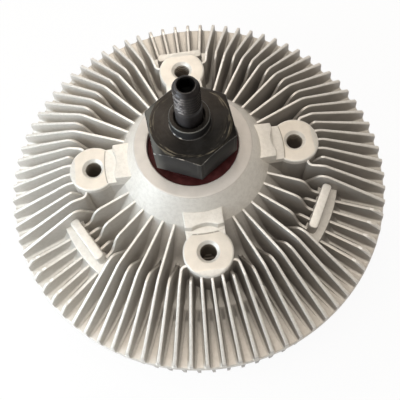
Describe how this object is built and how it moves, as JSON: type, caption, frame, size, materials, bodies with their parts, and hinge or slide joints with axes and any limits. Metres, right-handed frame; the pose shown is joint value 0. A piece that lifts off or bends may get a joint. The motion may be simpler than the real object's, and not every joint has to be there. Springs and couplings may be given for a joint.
{
  "type": "viscous fan clutch",
  "caption": "Viscous fan clutch with a finned cast aluminium housing, tapped fan bosses, ball bearing, hexagon input shaft, drive stud and a bimetal valve inside.",
  "frame": {"origin": "shaft axis at the plane of the front fin faces, on which the clutch stands", "axes": "+Z along the shaft axis, from the front cover towards the pump; +X and +Y through two of the fan bosses"},
  "size_m": [0.17, 0.17, 0.1136],
  "materials": {
    "cast_aluminium": "bead-blasted",
    "rotor_aluminium": "turned",
    "black_steel": "black oxide",
    "bearing_steel": "ground",
    "spring_steel": "oiled",
    "plated_steel": "zinc plated",
    "red_rubber": "matt",
    "black_rubber": "matt",
    "cage_brass": "pressed",
    "bimetal": "rolled",
    "wiper_plastic": "moulded"
  },
  "bodies": {
    "housing": {"rear_housing": "cast_aluminium", "front_cover": "cast_aluminium", "cover_seal": "black_rubber", "bearing_outer_ring": "bearing_steel", "bearing_seal_rear": "red_rubber", "bearing_seal_front": "red_rubber", "bearing_retaining_ring": "spring_steel", "pump_plate": "plated_steel", "pump_plate_screws": "plated_steel", "wiper_blocks": "wiper_plastic", "valve_shaft_seal": "black_rubber", "bimetal_coil": "bimetal", "coil_clip": "plated_steel"},
    "shaft": {"input_shaft": "black_steel", "drive_stud": "black_steel", "bearing_inner_ring": "bearing_steel", "rotor": "rotor_aluminium", "rotor_lock_ring": "spring_steel"},
    "cage": {"bearing_cage": "cage_brass", "bearing_balls": "bearing_steel"},
    "valve": {"valve_shaft": "plated_steel", "valve_arm": "plated_steel"}
  },
  "joints": [
    {"name": "shaft_spin", "type": "hinge", "parent": "housing", "child": "shaft", "pos_m": [0, 0, 0.0643], "axis": [0, 0, 1], "continuous": true},
    {"name": "cage_spin", "type": "hinge", "parent": "housing", "child": "cage", "pos_m": [0, 0, 0.0643], "axis": [0, 0, 1], "continuous": true},
    {"name": "valve_turn", "type": "hinge", "parent": "housing", "child": "valve", "pos_m": [0, 0, 0.015], "axis": [0, 0, 1], "range_deg": [0, 38], "deforming": ["bimetal_coil"]}
  ],
  "couplings": [
    {"joint": "cage_spin", "follows": "shaft_spin", "ratio": 0.38163}
  ]
}
